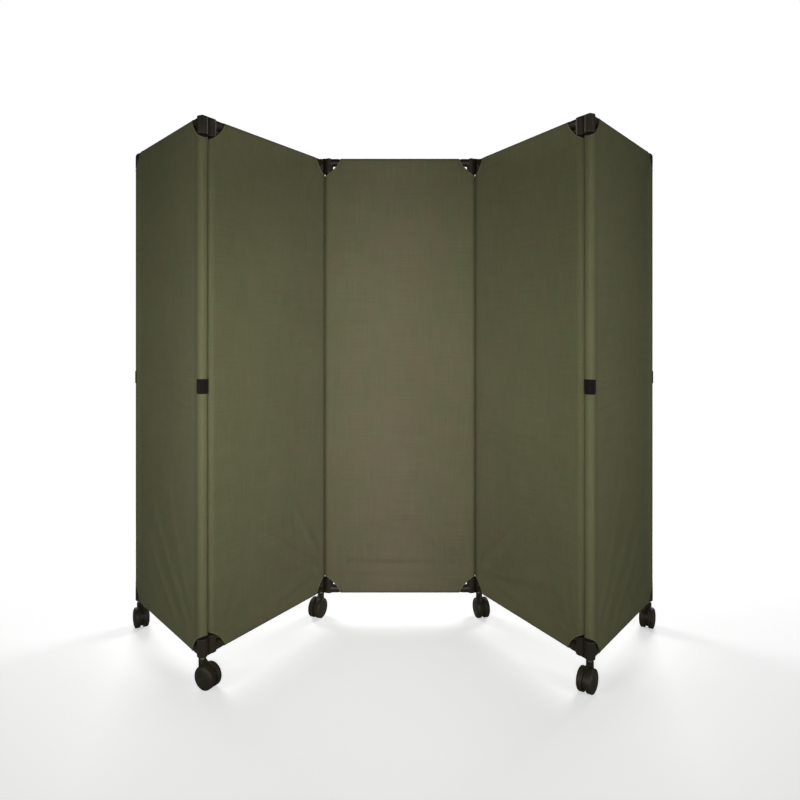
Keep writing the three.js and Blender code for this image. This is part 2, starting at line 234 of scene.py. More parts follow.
def add_mesh(name, points, faces, body, material, uvs=None):
    mesh = bpy.data.meshes.new(name)
    mesh.from_pydata([tuple(p) for p in points], [], faces)
    mesh.polygons.foreach_set("use_smooth", [True] * len(mesh.polygons))
    if uvs:
        layer = mesh.uv_layers.new(name="UVMap")
        for loop in mesh.loops:
            layer.data[loop.index].uv = uvs[loop.vertex_index]
    obj = add_object(name, mesh)
    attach(obj, body)
    mesh.materials.append(material)
    return obj


def join(points, faces, more_points, more_faces):
    """Adds a second mesh's points and faces to a first one's."""
    base = len(points)
    points += more_points
    faces += [[base + v for v in face] for face in more_faces]


def smoothstep(low, high, value):
    t = min(max((value - low) / (high - low), 0.0), 1.0)
    return t * t * (3 - 2 * t)


# Camera

centre_panel = Panel("centre")
camera_data = bpy.data.cameras.new("camera")
camera = add_object("camera", camera_data)
bpy.context.scene.camera = camera
standpoint = Vector((0, -CAMERA_DISTANCE, CAMERA_HEIGHT))
camera.location = centre_panel.at(centre_panel.width / 2, 0, 0) + standpoint
camera.rotation_euler = (math.pi / 2, 0, 0)
camera_data.lens = LENS
camera_data.sensor_width = SENSOR_WIDTH
camera_data.shift_y = SHIFT_Y
camera_data.clip_end = VIEW_DEPTH


# Materials

class Nodes:
    """Small helper round one material's node tree."""

    def __init__(self, name):
        self.material = bpy.data.materials.new(name)
        self.material.use_nodes = True
        self.tree = self.material.node_tree
        self.shader = self.tree.nodes["Principled BSDF"]
        self.output = self.tree.nodes["Material Output"]

    def add(self, kind, **settings):
        node = self.tree.nodes.new(kind)
        for key, value in settings.items():
            setattr(node, key, value)
        return node

    def feed(self, socket, value):
        """Gives a socket a number, a colour or another node's output."""
        if isinstance(value, (int, float)):
            socket.default_value = value
        elif isinstance(value, tuple):
            socket.default_value = (*value, 1)
        else:
            self.tree.links.new(value, socket)

    def surface(self, **inputs):
        """Feeds the Principled shader's inputs, named with underscores for spaces."""
        for key, value in inputs.items():
            self.feed(self.shader.inputs[key.replace("_", " ")], value)

    def math(self, operation, *values):
        node = self.add("ShaderNodeMath", operation=operation)
        for socket, value in zip(node.inputs, values):
            self.feed(socket, value)
        return node.outputs[0]

    def swing(self, source, share):
        """A pattern from 0 to 1 as a swing to both sides of 0, share wide in all."""
        return self.math("MULTIPLY_ADD", source, share, -share / 2)

    def ramp(self, source, *stops):
        node = self.add("ShaderNodeValToRGB")
        elements = node.color_ramp.elements
        for element, (place, colour) in zip(elements, stops):
            element.position = place
            element.color = (*colour, 1)
        self.feed(node.inputs[0], source)
        return node.outputs[0]

    def mix(self, factor, first, second, blend="MIX"):
        node = self.add("ShaderNodeMix", data_type="RGBA", blend_type=blend)
        for index, value in ((0, factor), (6, first), (7, second)):
            self.feed(node.inputs[index], value)
        return node.outputs[2]

    def noise(self, vector, scale=1.0, detail=3.0, roughness=0.55):
        node = self.add("ShaderNodeTexNoise")
        self.feed(node.inputs["Scale"], scale)
        self.feed(node.inputs["Detail"], detail)
        self.feed(node.inputs["Roughness"], roughness)
        self.feed(node.inputs["Vector"], vector)
        return node.outputs["Fac"]

    def scaled(self, vector, factors):
        node = self.add("ShaderNodeMapping")
        node.inputs["Scale"].default_value = factors
        self.feed(node.inputs["Vector"], vector)
        return node.outputs[0]

    def split(self, vector):
        node = self.add("ShaderNodeSeparateXYZ")
        self.feed(node.inputs[0], vector)
        return node.outputs

    def coordinates(self, kind):
        return self.add("ShaderNodeTexCoord").outputs[kind]

    def bump(self, height, strength, distance, normal=None):
        node = self.add("ShaderNodeBump")
        self.feed(node.inputs["Strength"], strength)
        self.feed(node.inputs["Distance"], distance)
        self.feed(node.inputs["Height"], height)
        if normal is not None:
            self.feed(node.inputs["Normal"], normal)
        return node.outputs[0]


# Cloth: how much each pattern adds to its tone, the stretch of tones from the dark to the light
# colour, and how fast its painted pool of light (a lighter, warmer colour) falls off, per metre to
# the sides and upwards
YARN_SHARE = 0.62
CLOUD_SHARE = 0.22
CLOUD_LEVEL = 0.08
WEAVE_SHARE = 0.14
SPECKLE_SHARE = 0.16
MOTTLE_SHARE = 0.13
CLOTH_DARK = 0.36
CLOTH_LIGHT = 0.66
PAINTED_LIGHT_FALL_ASIDE = 1.55
PAINTED_LIGHT_FALL_UP = 0.30

# Plastic, paint and metal: the stretch of tones, how uneven the gloss is, and where scuffs begin
HARD_DARK = 0.35
HARD_LIGHT = 0.65
GLOSS_SWING = 0.22
SCUFF_LIMIT = 0.66
SCUFF_GAIN = 2.6


def painted_light_pool(n, place):
    """Painted light: a pool of lighter, warmer cloth colour, most at the middle, less to the sides
    and upwards.
    """
    spread = n.split(place)
    aside = n.math("MULTIPLY", n.math("ABSOLUTE", spread[0]), PAINTED_LIGHT_FALL_ASIDE)
    near = n.math("MINIMUM", n.math("MAXIMUM", n.math("SUBTRACT", 1.0, aside), 0.0), 1.0)
    low = n.math("SUBTRACT", 1.0, n.math("MULTIPLY", spread[2], PAINTED_LIGHT_FALL_UP))
    return n.math("MULTIPLY", near, low)


def woven_material(name, dark, light, pitch, painted_light_colours=None, sheen=0.03):
    """Plain-woven cloth on a UV map in metres; the optional second pair of colours is painted
    light, a lighter, warmer pool at the middle.
    """
    n = Nodes(name)
    uv = n.coordinates("UV")
    split = n.split(uv)
    turns = 2 * math.pi / (2 * pitch)
    across = n.math("SINE", n.math("MULTIPLY", split[0], turns))
    along = n.math("SINE", n.math("MULTIPLY", split[1], turns))
    crossing = n.math("MULTIPLY", across, along)
    ridges = n.math("ABSOLUTE", crossing)
    weave = n.math("MULTIPLY_ADD", crossing, 0.5, 0.5)
    warp = n.noise(n.scaled(uv, (1 / (pitch * 2), 6, 1)), detail=2.0)
    weft = n.noise(n.scaled(uv, (5, 1 / (pitch * 2), 1)), detail=2.0)
    yarn = n.math("MULTIPLY_ADD", n.math("ADD", warp, weft), 0.5, 0.0)

    place = n.coordinates("Object")
    blotch = n.noise(place, scale=3.2, detail=4.0, roughness=0.6)
    speckle = n.noise(place, scale=240.0, detail=2.0, roughness=0.6)
    mottle = n.noise(n.scaled(place, (30, 30, 18)), roughness=0.6)
    cloudy = n.math("MULTIPLY_ADD", blotch, CLOUD_SHARE, CLOUD_LEVEL)
    tone = n.math("ADD", n.math("MULTIPLY", yarn, YARN_SHARE), cloudy)
    for pattern, share in (
        (weave, WEAVE_SHARE), (speckle, SPECKLE_SHARE), (mottle, MOTTLE_SHARE),
    ):
        tone = n.math("ADD", tone, n.swing(pattern, share))
    colour = n.ramp(tone, (CLOTH_DARK, dark), (CLOTH_LIGHT, light))
    # Painted light: the lighter, warmer pair of colours pooled at the middle of the screen, less to
    # the sides and upwards
    if painted_light_colours:
        painted_light_colour = n.ramp(tone, (CLOTH_DARK, painted_light_colours[0]), (CLOTH_LIGHT, painted_light_colours[1]))
        colour = n.mix(painted_light_pool(n, place), colour, painted_light_colour)
    dye = n.noise(place, scale=13.0, detail=4.0, roughness=0.65)
    tint = n.ramp(dye, (0.36, (0.945, 1.0, 0.955)), (0.64, (1.0, 0.955, 0.97)))

    pucker = n.noise(n.scaled(place, (9, 9, 4)), roughness=0.5)
    puckered = n.bump(pucker, strength=0.16, distance=0.004)
    relief = n.math("ADD", ridges, yarn)
    n.surface(
        Base_Color=n.mix(1.0, colour, tint, "MULTIPLY"),
        Roughness=0.9,
        Sheen_Weight=sheen,
        Sheen_Roughness=0.45,
        Specular_IOR_Level=0.12,
        Normal=n.bump(relief, strength=0.5, distance=pitch * 0.35, normal=puckered),
    )
    return n.material


def moulded_material(name, dark, light, roughness, grain=700.0, wear=0.0):
    """Moulded plastic or coated metal with a fine grain, uneven gloss and, if asked, scuffs."""
    n = Nodes(name)
    place = n.coordinates("Object")
    cloud = n.noise(place, scale=9.0, detail=4.0, roughness=0.6)
    fine = n.noise(place, scale=grain, detail=2.0, roughness=0.6)
    scuff = n.noise(n.scaled(place, (60, 60, 14)), detail=5.0, roughness=0.7)
    tone = n.math("MULTIPLY_ADD", cloud, 0.7, n.math("MULTIPLY", fine, 0.3))
    colour = n.ramp(tone, (HARD_DARK, dark), (HARD_LIGHT, light))
    if wear:
        worn = n.math("MULTIPLY", n.math("GREATER_THAN", scuff, SCUFF_LIMIT), wear)
        colour = n.mix(worn, colour, tuple(min(c * SCUFF_GAIN, 1.0) for c in light))
    n.surface(
        Base_Color=colour,
        Roughness=n.math("MULTIPLY_ADD", scuff, GLOSS_SWING, roughness - GLOSS_SWING / 2),
        Specular_IOR_Level=0.34,
        Normal=n.bump(fine, strength=0.18, distance=0.0004),
    )
    return n.material


def metal_material(name, dark, light, roughness):
    """Bright plated steel with turning marks round the vertical axis."""
    n = Nodes(name)
    place = n.coordinates("Object")
    rings = n.noise(n.scaled(place, (20, 20, 1800)), detail=2.0)
    cloud = n.noise(place, scale=120.0, detail=4.0, roughness=0.6)
    tone = n.math("MULTIPLY_ADD", rings, 0.4, n.math("MULTIPLY", cloud, 0.6))
    n.surface(
        Base_Color=n.ramp(tone, (HARD_DARK, dark), (HARD_LIGHT, light)),
        Metallic=1.0,
        Roughness=n.math("MULTIPLY_ADD", cloud, 0.2, roughness - 0.1),
        Normal=n.bump(rings, strength=0.15, distance=0.0002),
    )
    return n.material


# Its second, lighter and warmer pair of colours is painted light, pooled at the middle of the
# screen
CLOTH = woven_material(
    "cloth_weave", (0.107, 0.109, 0.054), (0.150, 0.150, 0.077), pitch=0.0011,
    painted_light_colours=((0.136, 0.120, 0.076), (0.183, 0.160, 0.105)),
)
PIPING = woven_material("hem_binding", (0.13, 0.13, 0.07), (0.19, 0.18, 0.11), pitch=0.0008)
THREAD = woven_material("thread", (0.12, 0.12, 0.07), (0.2, 0.19, 0.12), pitch=0.0005)
WEBBING = woven_material(
    "webbing_weave", (0.0055, 0.0045, 0.0035), (0.015, 0.012, 0.009), pitch=0.0019, sheen=0.05,
)
WEBBING_THREAD = woven_material(
    "band_thread", (0.012, 0.011, 0.01), (0.028, 0.026, 0.023), pitch=0.0005,
)
MOULDING = moulded_material(
    "elbow_plastic", (0.0140, 0.0105, 0.0064), (0.034, 0.025, 0.0150), roughness=0.46, wear=0.25,
)
TUBE = moulded_material(
    "tube_paint", (0.008, 0.0065, 0.0050), (0.016, 0.013, 0.010), roughness=0.34, grain=1400.0,
)
PLATE = moulded_material(
    "plate_paint", (0.009, 0.0075, 0.0055), (0.020, 0.016, 0.012), roughness=0.42, wear=0.5,
)
FORK = moulded_material(
    "fork_plastic", (0.0130, 0.0100, 0.0060), (0.030, 0.023, 0.0140), roughness=0.5, wear=0.2,
)
WHEEL = moulded_material(
    "wheel_plastic", (0.0150, 0.0120, 0.0070), (0.036, 0.029, 0.0170), roughness=0.52, wear=0.3,
)
STEEL = metal_material("stem_zinc", (0.30, 0.285, 0.26), (0.50, 0.48, 0.44), roughness=0.4)


def dress(node, material):
    """Gives a CAD node its material and shades its curved faces smoothly."""
    obj = frame["nodes"][node]
    obj.data.materials.clear()
    obj.data.materials.append(material)
    obj.data.polygons.foreach_set("use_smooth", [True] * len(obj.data.polygons))
    weld = obj.modifiers.new("weld", "WELD")
    weld.merge_threshold = WELD_DISTANCE
    edges = obj.modifiers.new("edges", "EDGE_SPLIT")
    edges.split_angle = math.radians(SMOOTH_ANGLE)


for hinge_name in HINGES:
    for plate in ("top", "bottom"):
        dress(f"{hinge_name}_{plate}", PLATE)
for caster_name in CASTERS:
    dress(f"caster_{caster_name}_stem", STEEL)
    dress(f"caster_{caster_name}_fork", FORK)


# Tube frame: rails with their moulded elbows, and posts

def elbow_form(seated):
    """One elbow at the origin, arm along +x and barrel down, with soft moulded fillets.

    A seated one has a flat seat on top, for a link plate; a closed one is rounded off.
    """
    shape = bmesh.new()
    quarter = Matrix.Rotation(math.pi / 2, 4, "Y")
    tall = BARREL_LENGTH + (SEAT_HEIGHT if seated else 0.0)
    for radius, length, place in (
        (BARREL_RADIUS, tall, Matrix.Translation((0, 0, tall / 2 - BARREL_LENGTH))),
        (ARM_RADIUS, ARM_LENGTH, Matrix.Translation((ARM_LENGTH / 2, 0, 0)) @ quarter),
    ):
        bmesh.ops.create_cone(
            shape, cap_ends=True, segments=ELBOW_SIDES,
            radius1=radius, radius2=radius, depth=length, matrix=place,
        )
    bmesh.ops.create_icosphere(shape, subdivisions=4, radius=BARREL_RADIUS)
    mesh = bpy.data.meshes.new("elbow")
    shape.to_mesh(mesh)
    shape.free()
    obj = add_object("elbow", mesh)
    skin = obj.modifiers.new("skin", "REMESH")
    skin.mode = "VOXEL"
    skin.voxel_size = ELBOW_VOXEL
    soften = obj.modifiers.new("soften", "SMOOTH")
    soften.factor = SOFTENING
    soften.iterations = SOFTENING_ROUNDS
    depsgraph = bpy.context.evaluated_depsgraph_get()
    made = bpy.data.meshes.new_from_object(obj.evaluated_get(depsgraph))
    points = [v.co.copy() for v in made.vertices]
    faces = [list(f.vertices) for f in made.polygons]
    bpy.data.objects.remove(obj)
    if seated:
        for point in points:
            start, end = SEAT_REACH - SEAT_EDGE_START, SEAT_REACH + SEAT_EDGE_END
            beyond = smoothstep(start, end, point.x)
            point.z = min(point.z, SEAT_HEIGHT + SEAT_STEP * beyond)
    return points, faces


def round_bar(start, end):
    """A round bar of the frame's tube between two points, with small bevels at its ends."""
    ahead = (end - start).normalized()
    side = ahead.orthogonal().normalized()
    up = ahead.cross(side)
    length = (end - start).length
    points, faces = [start.copy()], []
    rings = (
        (0.0, TUBE_RADIUS - BAR_BEVEL),
        (BAR_BEVEL, TUBE_RADIUS),
        (length - BAR_BEVEL, TUBE_RADIUS),
        (length, TUBE_RADIUS - BAR_BEVEL),
    )
    for along, radius in rings:
        for k in range(BAR_SIDES):
            turn = math.tau * k / BAR_SIDES
            points.append(
                start
                + ahead * along
                + side * (math.cos(turn) * radius)
                + up * (math.sin(turn) * radius)
            )
    points.append(end.copy())
    last = 1 + (len(rings) - 1) * BAR_SIDES
    for k in range(BAR_SIDES):
        after = (k + 1) % BAR_SIDES
        faces.append([0, 1 + after, 1 + k])
        for low in range(1, last, BAR_SIDES):
            high = low + BAR_SIDES
            faces.append([low + k, low + after, high + after, high + k])
        faces.append([last + k, last + after, len(points) - 1])
    return points, faces


SEATED_ELBOW = elbow_form(True)
CLOSED_ELBOW = elbow_form(False)


def rail_form(panel, side):
    """A rail and its two elbows in one piece; side is 1 for the top rail, -1 for the bottom one."""
    level = panel.top if side == 1 else panel.bottom
    points, faces = [], []
    for end in (0, 1):
        closed = side == 1 and end == 1 and panel.name.startswith("end")
        elbow_points, elbow_faces = CLOSED_ELBOW if closed else SEATED_ELBOW
        placed = [
            panel.at(panel.width - p.x if end else p.x, p.y, level + side * p.z)
            for p in elbow_points
        ]
        if (end == 1) != (side == -1):
            elbow_faces = [face[::-1] for face in elbow_faces]
        join(points, faces, placed, elbow_faces)
    reach = ARM_LENGTH - BAR_OVERLAP
    bar = round_bar(panel.at(reach, 0, level), panel.at(panel.width - reach, 0, level))
    join(points, faces, *bar)
    rail = "top_rail" if side == 1 else "bottom_rail"
    obj = add_mesh(f"{panel.name}_{rail}_form", points, faces, panel.name, MOULDING)
    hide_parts(f"{panel.name}_{rail}")


def post_form(panel, letter):
    x = 0.0 if letter == "a" else panel.width
    low = panel.bottom + BARREL_LENGTH + SEAT_GAP
    high = panel.top - BARREL_LENGTH - SEAT_GAP
    points, faces = round_bar(panel.at(x, 0, low), panel.at(x, 0, high))
    obj = add_mesh(f"{panel.name}_post_{letter}_form", points, faces, panel.name, TUBE)
    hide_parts(f"{panel.name}_post_{letter}")


for panel_name in PANELS:
    panel = Panel(panel_name)
    rail_form(panel, 1)
    rail_form(panel, -1)
    post_form(panel, "a")
    post_form(panel, "b")


# Casters' wheels

def wheel_profile(tread_radius):
    """One wheel's section, as (radius, distance from the caster's middle) from axle to hub cap."""
    shoulder = WHEEL_OUTER - WHEEL_DOME
    pairs = [(AXLE_RADIUS, WHEEL_INNER)]
    pairs += [(tread_radius - inwards, WHEEL_INNER + step) for inwards, step in TREAD_EDGE]
    for share in GROOVE_PLACES:
        place = WHEEL_INNER + (shoulder - WHEEL_INNER) * share
        pairs += [(tread_radius - inwards, place + step) for inwards, step in GROOVE_STEPS]
    for step in range(DOME_STEPS + 1):
        turn = step / DOME_STEPS * math.pi / 2
        radius = HUB_RADIUS + (tread_radius - HUB_RADIUS) * math.cos(turn)
        along = shoulder + WHEEL_DOME * math.sin(turn)
        if DOME_RING_INNER < radius < DOME_RING_OUTER:
            along -= DOME_RING_DEPTH
        pairs.append((radius, along))
    cap = HUB_RADIUS - CAP_GAP
    pairs += [(cap - inwards, WHEEL_OUTER + step) for inwards, step in CAP_STEPS]
    return pairs + [(0.0, WHEEL_OUTER)]


def wheel_pair(place):
    node = f"caster_{place}_wheels"
    centre = middle_of(node)
    joints = frame["record"]["behaviour"]["joints"]
    joint = next(j for j in joints if j["name"] == f"roll_{place}")
    axis = Vector(joint["axis"]).normalized()
    along = axis.cross(UP).normalized()
    half = wheel_profile(centre.z - FLOOR_GAP)
    profile = [(radius, -across) for radius, across in reversed(half)] + half
    points, faces, rings = [], [], []
    for radius, across in profile:
        if radius == 0.0:
            rings.append([len(points)] * WHEEL_SIDES)
            points.append(centre + axis * across)
            continue
        rings.append(list(range(len(points), len(points) + WHEEL_SIDES)))
        for k in range(WHEEL_SIDES):
            turn = math.tau * k / WHEEL_SIDES
            points.append(
                centre
                + axis * across
                + along * (math.cos(turn) * radius)
                + UP * (math.sin(turn) * radius)
            )
    for first, second in zip(rings, rings[1:]):
        for k in range(WHEEL_SIDES):
            after = (k + 1) % WHEEL_SIDES
            corners = list(dict.fromkeys([first[k], first[after], second[after], second[k]]))
            if len(corners) > 2:
                faces.append(corners)
    obj = add_mesh(f"caster_{place}_wheel_pair", points, faces, f"wheels_{place}", WHEEL)
    edges = obj.modifiers.new("edges", "EDGE_SPLIT")
    edges.split_angle = math.radians(WHEEL_SMOOTH_ANGLE)
    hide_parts(node)


for caster_name in CASTERS:
    wheel_pair(caster_name)


# Cloth sleeves

def scoop_curve(t):
    """The scoop's edge from its top end (t = 0) to its side end (t = 1), from the corner's axis."""
    start = Vector((SCOOP_WIDTH - CLOTH_OUTER, CLOTH_OUTER))
    bend = Vector((
        SCOOP_WIDTH * SCOOP_BULGE - CLOTH_OUTER, CLOTH_OUTER - SCOOP_DEPTH * SCOOP_BULGE,
    ))
    end = Vector((-CLOTH_OUTER, CLOTH_OUTER - SCOOP_DEPTH))
    return start * (1 - t) ** 2 + bend * 2 * t * (1 - t) + end * t ** 2


def scoop_height(x):
    """The scoop edge's height at a distance x from the post's axis, found by halving."""
    low, high = 0.0, 1.0
    for _ in range(HALVINGS):
        middle = (low + high) / 2
        if scoop_curve(middle).x > x:
            low = middle
        else:
            high = middle
    return scoop_curve((low + high) / 2).y


def rounding(over):
    """Half the sleeve's thickness, over past the axis of the tube that it bends round."""
    return math.sqrt(max(CLOTH_OUTER ** 2 - max(over, 0.0) ** 2, 0.0))


def column_places(length):
    """Columns across a panel: fine round the post at each end and near it, even between them."""
    arc = [-CLOTH_OUTER * math.cos(math.radians(a)) for a in BEND_ANGLES]
    half = arc + NEAR_COLUMNS + [SCOOP_WIDTH - CLOTH_OUTER]
    rest = length - 2 * half[-1]
    count = max(2, round(rest / COLUMN_STEP))
    inner = [half[-1] + rest * i / count for i in range(1, count)]
    return half + inner + [length - v for v in reversed(half)]


# Folds: from and to, each as a distance from the panel's front post (its left one on the centre
# panel) and a height over its bottom rail, then the half width and the height; a negative height
# is a furrow
END_FOLDS = [
    (0.15, 0.02, 0.50, 0.30, 0.012, 0.0046), (0.08, 0.05, 0.47, 0.46, 0.015, 0.0044),
    (0.06, 0.08, 0.33, 0.64, 0.018, 0.0030), (0.20, 0.005, 0.53, 0.13, 0.012, 0.0026),
    (-0.02, 0.91, 0.34, 0.94, 0.010, 0.0034), (-0.03, 0.845, 0.56, 0.885, 0.009, 0.0046),
    (-0.03, 0.806, 0.60, 0.832, 0.009, -0.0040), (-0.02, 0.765, 0.50, 0.80, 0.009, 0.0040),
    (-0.02, 0.715, 0.36, 0.75, 0.010, 0.0030),
]
LEFT_FOLDS = [
    (0.525, 0.10, 0.15, 0.345, 0.010, 0.0090), (0.47, 0.075, 0.10, 0.03, 0.012, 0.0040),
    (0.53, 0.14, 0.34, 0.42, 0.012, 0.0040), (0.51, 0.085, 0.20, 0.17, 0.010, -0.0040),
]
RIGHT_FOLDS = [
    (0.52, 0.078, 0.05, 0.185, 0.012, 0.0070), (0.53, 0.11, 0.27, 0.33, 0.012, 0.0056),
    (0.47, 0.07, 0.12, 0.04, 0.012, 0.0036), (0.50, 0.105, 0.12, 0.245, 0.012, -0.0036),
]
CENTRE_FOLDS = [
    (0.04, 0.082, 0.52, 0.082, 0.008, 0.0056), (0.05, 0.108, 0.51, 0.108, 0.008, -0.0036),
    (0.52, 0.09, 0.30, 0.32, 0.013, 0.0068), (0.04, 0.09, 0.20, 0.27, 0.012, 0.0048),
    (0.02, 1.37, 0.18, 1.25, 0.010, 0.0026), (0.03, 1.59, 0.20, 1.42, 0.012, 0.0026),
]
FOLDS = {
    "centre": CENTRE_FOLDS,
    "inner_left": LEFT_FOLDS,
    "inner_right": RIGHT_FOLDS,
    "end_left": END_FOLDS,
    "end_right": [
        (u0, v0 - 0.012, u1, v1 + 0.03, half_width * 1.1, height * 0.7)
        for u0, v0, u1, v1, half_width, height in END_FOLDS
    ],
}


def folds(panel, x, z):
    """How far the panel's folds stand out at a point."""
    front_first = panel.name == "centre" or panel.a.y < panel.at(panel.width, 0, 0).y
    u = x if front_first else panel.width - x
    v = z - panel.bottom
    out = 0.0
    for u0, v0, u1, v1, half_width, height in FOLDS[panel.name]:
        du, dv = u1 - u0, v1 - v0
        length = math.hypot(du, dv)
        du, dv = du / length, dv / length
        along = ((u - u0) * du + (v - v0) * dv) / length
        if not 0 < along < 1:
            continue
        bend = FOLD_BEND * math.sin(along * 2.6 + u0 * 9) * along
        across = (v - v0) * du - (u - u0) * dv + bend
        wide = half_width * (FOLD_WIDTH_START + FOLD_WIDENING * along)
        if abs(across) > FOLD_REACH * wide:
            continue
        ridge = math.exp(-((across / wide) ** 2))
        beside = across - TROUGH_PLACE * wide
        trough = math.exp(-((beside / (TROUGH_WIDTH * wide)) ** 2))
        rise, fade = smoothstep(0.0, FOLD_START, along), 1 - smoothstep(FOLD_FADE, 1.0, along)
        out += height * (ridge - TROUGH_DEPTH * trough) * rise * fade
    return out


def puckers(panel, x, z, seed):
    """Rays that fan out from the four scoops, strongest from the lower ones."""
    pull = 0.0
    for corner_z, strengths in zip((panel.bottom, panel.top), PUCKER_STRENGTHS):
        for corner_x, strength in zip((0, panel.width), strengths):
            dx, dz = abs(x - corner_x), abs(z - corner_z)
            reach = math.hypot(dx, dz)
            if reach > PUCKER_REACH:
                continue
            wander = noise.noise(Vector((reach * 5, seed, corner_x + corner_z)))
            ray = math.sin(math.atan2(dz, dx) * PUCKER_RAYS + wander * 1.8 + seed)
            fall = math.exp(-((reach / PUCKER_FALL) ** 2))
            pull += strength * ray * smoothstep(*PUCKER_START, reach) * fall
    return pull


def slack(panel, x, z, side):
    """How far the cloth lies in from its taut face, with its waves, folds and puckers."""
    from_posts = min(x, panel.width - x)
    from_rails = min(z - panel.bottom, panel.top - z)
    if panel.name.startswith("end"):
        sunk = END_SINK * smoothstep(*END_SLOPE, from_posts)
    else:
        sunk = INNER_SINK * smoothstep(*INNER_SLOPE, from_posts)
    sunk *= smoothstep(*RAIL_SLOPE, from_rails)
    free = smoothstep(*FREE_OF_POSTS, from_posts) * smoothstep(*FREE_OF_RAILS, from_rails)
    seed = sum(ord(c) for c in panel.name) * 1.7 + side * 31.0
    slow = noise.noise(Vector((x * 3.2 + seed, z * 1.5, side * 5.0)))
    fine = noise.noise(Vector((x * 11.0, z * 5.0 + seed, 2.0)))
    pull = puckers(panel, x, z, seed)
    out = folds(panel, x, z) - SLOW_WAVE * slow - FINE_WAVE * fine - PUCKER * pull
    return max(sunk - free * out, -STAND_OUT)


def sleeve(panel):
    """One closed bag of cloth round both posts and rails, its corners cut out by the scoops."""
    tall = panel.top - panel.bottom
    inner_height = tall - 2 * SCOOP_ROWS_HEIGHT
    inner_count = round(inner_height / ROW_STEP)
    inner_rows = [
        SCOOP_ROWS_HEIGHT + inner_height * i / inner_count for i in range(inner_count + 1)
    ]
    bend_rows = [CLOTH_OUTER * math.sin(math.radians(a)) for a in BEND_ANGLES]
    cut_count = SCOOP_ROWS + len(bend_rows) - 1

    def column_heights(x):
        beyond = min(x, panel.width - x)
        if beyond < SCOOP_WIDTH - CLOTH_OUTER - TINY:
            height = SCOOP_ROWS_HEIGHT + scoop_height(beyond)
            cap = [-SCOOP_ROWS_HEIGHT + height * i / cut_count for i in range(1, cut_count + 1)]
        else:
            cap = [
                -SCOOP_ROWS_HEIGHT + SCOOP_ROWS_HEIGHT * i / SCOOP_ROWS
                for i in range(1, SCOOP_ROWS)
            ]
            cap += bend_rows
        low = [panel.bottom - v for v in reversed(cap)]
        inner = [panel.bottom + v for v in inner_rows]
        return low + inner + [panel.top + v for v in cap]

    grid = [(x, column_heights(x)) for x in column_places(panel.width)]
    rows = len(grid[0][1])
    points, uvs, index = [], [], {}
    for side in (-1, 1):
        for i, (x, heights) in enumerate(grid):
            for j, z in enumerate(heights):
                past = max(-x, x - panel.width)
                over = max(panel.bottom - z, z - panel.top)
                half = min(rounding(past), rounding(over))
                edge = j in (0, rows - 1) and half < CLOSED_THICKNESS
                closed = i in (0, len(grid) - 1) or edge
                if closed and side == 1:
                    index[side, i, j] = index[-1, i, j]
                    continue
                index[side, i, j] = len(points)
                depth = 0.0 if closed else half - slack(panel, x, z, side)
                points.append(panel.at(x, side * max(depth, 0.0), z))
                uvs.append((x, z))
    faces = []
    for side in (-1, 1):
        for i in range(len(grid) - 1):
            for j in range(rows - 1):
                around = ((i, j), (i + 1, j), (i + 1, j + 1), (i, j + 1))
                corners = list(dict.fromkeys(index[side, a, b] for a, b in around))
                if len(corners) > 2:
                    faces.append(corners if side == -1 else corners[::-1])
    obj = add_mesh(f"{panel.name}_sleeve", points, faces, panel.name, CLOTH, uvs)
    solid = obj.modifiers.new("thickness", "SOLIDIFY")
    solid.thickness = CLOTH_THICKNESS
    solid.offset = -1
    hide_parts(f"{panel.name}_cloth")
    return obj


def piping(path, outward):
    """A closed ring of elliptical section along a closed path, with its points' outward sides."""
    points, faces = [], []
    count = len(path)
    for i, here in enumerate(path):
        ahead = (path[(i + 1) % count] - path[i - 1]).normalized()
        out = outward[i]
        across = ahead.cross(out).normalized()
        for k in range(PIPING_SIDES):
            turn = math.tau * k / PIPING_SIDES
            points.append(
                here
                + across * (math.cos(turn) * PIPING_HALF_WIDTH)
                + out * (math.sin(turn) * PIPING_HALF_HEIGHT)
            )
    for i in range(count):
        first, second = i * PIPING_SIDES, (i + 1) % count * PIPING_SIDES
        for k in range(PIPING_SIDES):
            after = (k + 1) % PIPING_SIDES
            faces.append([first + k, second + k, second + after, first + after])
    return points, faces


def surface_point(panel, x, z, side, lift):
    """A point lifted off the sleeve's taut outer face, and the face's outward direction there."""
    past = min(max(-x, x - panel.width, 0.0), CLOTH_OUTER)
    over = min(max(panel.bottom - z, z - panel.top, 0.0), CLOTH_OUTER)
    half = min(rounding(past), rounding(over))
    direction = Vector((0.0, side * half, 0.0))
    if rounding(past) <= rounding(over):
        direction.x = past if x > panel.width / 2 else -past
    else:
        direction.z = over if z > (panel.bottom + panel.top) / 2 else -over
    if direction.length > TINY:
        direction = direction.normalized()
    else:
        direction = Vector((1.0, 0.0, 0.0))
    world = panel.x * direction.x + panel.y * direction.y + panel.z * direction.z
    return panel.at(x, side * half, z) + world * lift, world


CORNERS = ((0, 0), (0, 1), (1, 0), (1, 1))


def from_corner(panel, corner, place):
    """Panel coordinates of a place given from a corner, which is (0 or 1 along x, 0 or 1 up)."""
    x = place.x if corner[0] == 0 else panel.width - place.x
    z = panel.top + place.y if corner[1] == 1 else panel.bottom - place.y
    return x, z


def hems(panel):
    """The bound edge round each scoop, over both layers."""
    there = [(i / HEM_STEPS, -1) for i in range(HEM_STEPS + 1)]
    back = [(i / HEM_STEPS, 1) for i in range(HEM_STEPS - 1, 0, -1)]
    points, faces = [], []
    for corner in CORNERS:
        path, outward = [], []
        for t, side in there + back:
            x, z = from_corner(panel, corner, scoop_curve(t))
            place, direction = surface_point(panel, x, z, side, -CLOTH_THICKNESS / 2)
            path.append(place)
            outward.append(direction)
        join(points, faces, *piping(path, outward))
    uvs = [(p.x, p.z) for p in points]
    obj = add_mesh(f"{panel.name}_hems", points, faces, panel.name, PIPING, uvs)
    return obj


